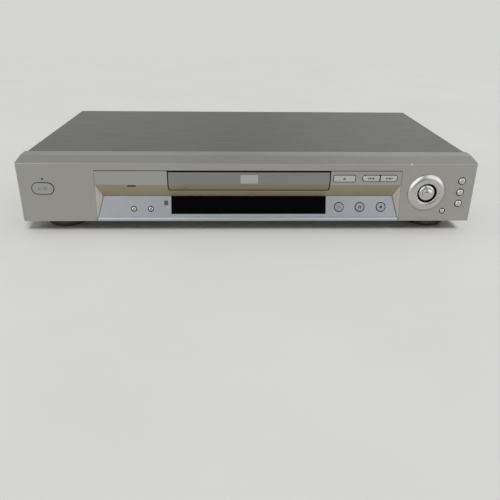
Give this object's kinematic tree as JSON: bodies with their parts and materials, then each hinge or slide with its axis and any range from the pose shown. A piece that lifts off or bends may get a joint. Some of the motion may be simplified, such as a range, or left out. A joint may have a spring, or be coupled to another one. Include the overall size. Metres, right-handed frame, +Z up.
{
  "type": "disc player",
  "caption": "Slim silver disc player with a front-loading tray, V-grooved front panel, display window, push buttons and a joystick with a ring, on round feet.",
  "frame": {"origin": "centre of the bounding box's bottom face, on the surface that the feet stand on", "axes": "+X right, +Y to the back, +Z up; the front faces -Y"},
  "size_m": [0.43, 0.2528, 0.0734],
  "materials": {
    "pan_steel": "galvanised sheet",
    "cover_paint": "fine textured grey metallic paint",
    "rear_paint": "grey painted sheet",
    "bezel_silver": "silver painted plastic, satin",
    "panel_silver": "silver painted plastic, satin",
    "door_silver": "silver painted plastic, satin",
    "window_black": "polished",
    "ring_silver": "metallised, satin",
    "dark_lens": "smoked",
    "screw_steel": "plated",
    "foot_plastic": "dark brown, moulded",
    "pad_rubber": "matt",
    "board_brown": "phenolic board",
    "winding_tape": "taped winding and ferrite",
    "capacitor_sleeve": "shrink sleeve",
    "board_green": "solder mask",
    "cable_white": "flat cable",
    "jack_black": "moulded",
    "jack_metal": "nickel plated",
    "jack_colours": "coloured by jack",
    "tube_glass": "display tube",
    "switch_black": "moulded",
    "loader_plastic": "moulded",
    "bridge_steel": "pressed sheet",
    "motor_steel": "drawn can",
    "belt_rubber": "matt",
    "tray_plastic": "moulded, fine texture",
    "gear_plastic": "acetal",
    "pulley_brass": "turned",
    "plate_steel": "pressed sheet",
    "rod_steel": "ground",
    "turntable_plastic": "moulded with rubber ring",
    "clamper_plastic": "moulded",
    "sled_metal": "die cast",
    "lens_glass": "coated lens in its holder",
    "gimbal_plastic": "acetal",
    "knob_chrome": "metallised",
    "cap_chrome": "metallised",
    "cap_silver": "silver painted"
  },
  "bodies": {
    "root": {"chassis_pan": "pan_steel", "clamper_bridge": "bridge_steel", "control_panel": "panel_silver", "display_window": "window_black", "drive_belt": "belt_rubber", "feet": "foot_plastic", "fluorescent_display": "tube_glass", "foot_pads": "pad_rubber", "front_bezel": "bezel_silver", "front_board": "board_green", "jack_block": "jack_black", "jack_inserts": "jack_colours", "jack_shells": "jack_metal", "joystick_base": "switch_black", "loader_frame": "loader_plastic", "loading_motor": "motor_steel", "main_board": "board_green", "nav_ring": "ring_silver", "power_board": "board_brown", "power_capacitors": "capacitor_sleeve", "power_inlet": "jack_black", "rear_panel": "rear_paint", "ribbon_cable": "cable_white", "screws": "screw_steel", "small_windows": "dark_lens", "tact_switches": "switch_black", "top_cover": "cover_paint", "transformer": "winding_tape"},
    "tray": {"disc_tray": "tray_plastic", "tray_door": "door_silver"},
    "drive_gear": {"drive_gear": "gear_plastic"},
    "pulley_gear": {"pulley_gear": "gear_plastic"},
    "motor_pulley": {"motor_pulley": "pulley_brass"},
    "cam_slider": {"cam_slider": "gear_plastic"},
    "traverse": {"base_plate": "plate_steel", "guide_rods": "rod_steel", "spindle_motor": "motor_steel", "feed_motor": "motor_steel"},
    "turntable": {"turntable": "turntable_plastic"},
    "clamper": {"clamper": "clamper_plastic"},
    "sled": {"pickup_sled": "sled_metal"},
    "lens": {"objective_lens": "lens_glass"},
    "feed_gear": {"feed_gear": "gear_plastic"},
    "joystick_gimbal": {"joystick_gimbal": "gimbal_plastic"},
    "joystick_collar": {"joystick_collar": "gimbal_plastic"},
    "joystick_knob": {"joystick_knob": "knob_chrome"},
    "power_button": {"power_button": "cap_silver"},
    "eject_button": {"eject_button": "cap_chrome"},
    "previous_button": {"previous_button": "cap_chrome"},
    "next_button": {"next_button": "cap_chrome"},
    "top_menu_button": {"top_menu_button": "cap_chrome"},
    "menu_button": {"menu_button": "cap_chrome"},
    "return_button": {"return_button": "cap_chrome"},
    "display_button": {"display_button": "cap_chrome"},
    "play_button": {"play_button": "cap_silver"},
    "pause_button": {"pause_button": "cap_silver"},
    "stop_button": {"stop_button": "cap_silver"},
    "picture_button": {"picture_button": "cap_chrome"},
    "surround_button": {"surround_button": "cap_chrome"}
  },
  "joints": [
    {"name": "tray_slide", "type": "slide", "parent": "root", "child": "tray", "axis": [0, -1, 0], "range_m": [0, 0.148]},
    {"name": "drive_gear_spin", "type": "hinge", "parent": "root", "child": "drive_gear", "pos_m": [-0.046, -0.08435, 0.0448], "axis": [0, 0, 1], "range_deg": [0, 850.98]},
    {"name": "pulley_gear_spin", "type": "hinge", "parent": "root", "child": "pulley_gear", "pos_m": [-0.0212, -0.08435, 0.0402], "axis": [0, 0, 1], "range_deg": [-3536.24, 0]},
    {"name": "motor_pulley_spin", "type": "hinge", "parent": "root", "child": "motor_pulley", "pos_m": [0.015, -0.08435, 0.0402], "axis": [0, 0, 1], "range_deg": [-12085.81, 0]},
    {"name": "traverse_tilt", "type": "hinge", "parent": "root", "child": "traverse", "pos_m": [0, 0.04665, 0.0458], "axis": [1, 0, 0], "range_deg": [0, 3.7]},
    {"name": "cam_slide", "type": "slide", "parent": "root", "child": "cam_slider", "axis": [1, 0, 0], "range_m": [0, 0.0181]},
    {"name": "turntable_spin", "type": "hinge", "parent": "traverse", "child": "turntable", "pos_m": [0, -0.03135, 0.0584], "axis": [0, 0, 1], "continuous": true},
    {"name": "clamper_spin", "type": "hinge", "parent": "root", "child": "clamper", "pos_m": [0, -0.03135, 0.0594], "axis": [0, 0, 1], "continuous": true},
    {"name": "sled_slide", "type": "slide", "parent": "traverse", "child": "sled", "axis": [0, 1, 0], "range_m": [0, 0.034]},
    {"name": "feed_gear_spin", "type": "hinge", "parent": "traverse", "child": "feed_gear", "pos_m": [-0.0406, -0.00335, 0.0408], "axis": [0, 0, 1], "range_deg": [0, 205.92]},
    {"name": "lens_focus", "type": "slide", "parent": "sled", "child": "lens", "axis": [0, 0, 1], "range_m": [-0.0004, 0.0004], "stiffness_N_per_m": 60},
    {"name": "stick_up_down", "type": "hinge", "parent": "root", "child": "joystick_gimbal", "pos_m": [0.1693, -0.10885, 0.042], "axis": [1, 0, 0], "range_deg": [-3, 3], "stiffness_Nm_per_rad": 0.08},
    {"name": "stick_left_right", "type": "hinge", "parent": "joystick_gimbal", "child": "joystick_collar", "pos_m": [0.1693, -0.10885, 0.042], "axis": [0, 0, 1], "range_deg": [-3, 3], "stiffness_Nm_per_rad": 0.08},
    {"name": "stick_push", "type": "slide", "parent": "joystick_collar", "child": "joystick_knob", "axis": [0, 1, 0], "range_m": [0, 0.0006], "stiffness_N_per_m": 500},
    {"name": "power_button_press", "type": "slide", "parent": "root", "child": "power_button", "axis": [0, 1, 0], "range_m": [0, 0.0006], "stiffness_N_per_m": 500},
    {"name": "eject_button_press", "type": "slide", "parent": "root", "child": "eject_button", "axis": [0, 1, 0], "range_m": [0, 0.0006], "stiffness_N_per_m": 500},
    {"name": "previous_button_press", "type": "slide", "parent": "root", "child": "previous_button", "axis": [0, 1, 0], "range_m": [0, 0.0006], "stiffness_N_per_m": 500},
    {"name": "next_button_press", "type": "slide", "parent": "root", "child": "next_button", "axis": [0, 1, 0], "range_m": [0, 0.0006], "stiffness_N_per_m": 500},
    {"name": "top_menu_button_press", "type": "slide", "parent": "root", "child": "top_menu_button", "axis": [0, 1, 0], "range_m": [0, 0.0006], "stiffness_N_per_m": 500},
    {"name": "menu_button_press", "type": "slide", "parent": "root", "child": "menu_button", "axis": [0, 1, 0], "range_m": [0, 0.0006], "stiffness_N_per_m": 500},
    {"name": "return_button_press", "type": "slide", "parent": "root", "child": "return_button", "axis": [0, 1, 0], "range_m": [0, 0.0006], "stiffness_N_per_m": 500},
    {"name": "display_button_press", "type": "slide", "parent": "root", "child": "display_button", "axis": [0, 1, 0], "range_m": [0, 0.0006], "stiffness_N_per_m": 500},
    {"name": "play_button_press", "type": "slide", "parent": "root", "child": "play_button", "axis": [0, 0.9482, -0.3177], "range_m": [0, 0.0006], "stiffness_N_per_m": 500},
    {"name": "pause_button_press", "type": "slide", "parent": "root", "child": "pause_button", "axis": [0, 0.9482, -0.3177], "range_m": [0, 0.0006], "stiffness_N_per_m": 500},
    {"name": "stop_button_press", "type": "slide", "parent": "root", "child": "stop_button", "axis": [0, 0.9482, -0.3177], "range_m": [0, 0.0006], "stiffness_N_per_m": 500},
    {"name": "picture_button_press", "type": "slide", "parent": "root", "child": "picture_button", "axis": [0, 0.9482, -0.3177], "range_m": [0, 0.0006], "stiffness_N_per_m": 500},
    {"name": "surround_button_press", "type": "slide", "parent": "root", "child": "surround_button", "axis": [0, 0.9482, -0.3177], "range_m": [0, 0.0006], "stiffness_N_per_m": 500}
  ],
  "couplings": [
    {"joint": "drive_gear_spin", "follows": "tray_slide", "rad_per_m": 100},
    {"joint": "pulley_gear_spin", "follows": "tray_slide", "rad_per_m": -416.67},
    {"joint": "motor_pulley_spin", "follows": "tray_slide", "rad_per_m": -1424.9},
    {"joint": "cam_slide", "follows": "traverse_tilt", "m_per_rad": 0.27874},
    {"joint": "turntable_spin", "follows": "clamper_spin", "ratio": 1},
    {"joint": "feed_gear_spin", "follows": "sled_slide", "rad_per_m": 104.17}
  ]
}
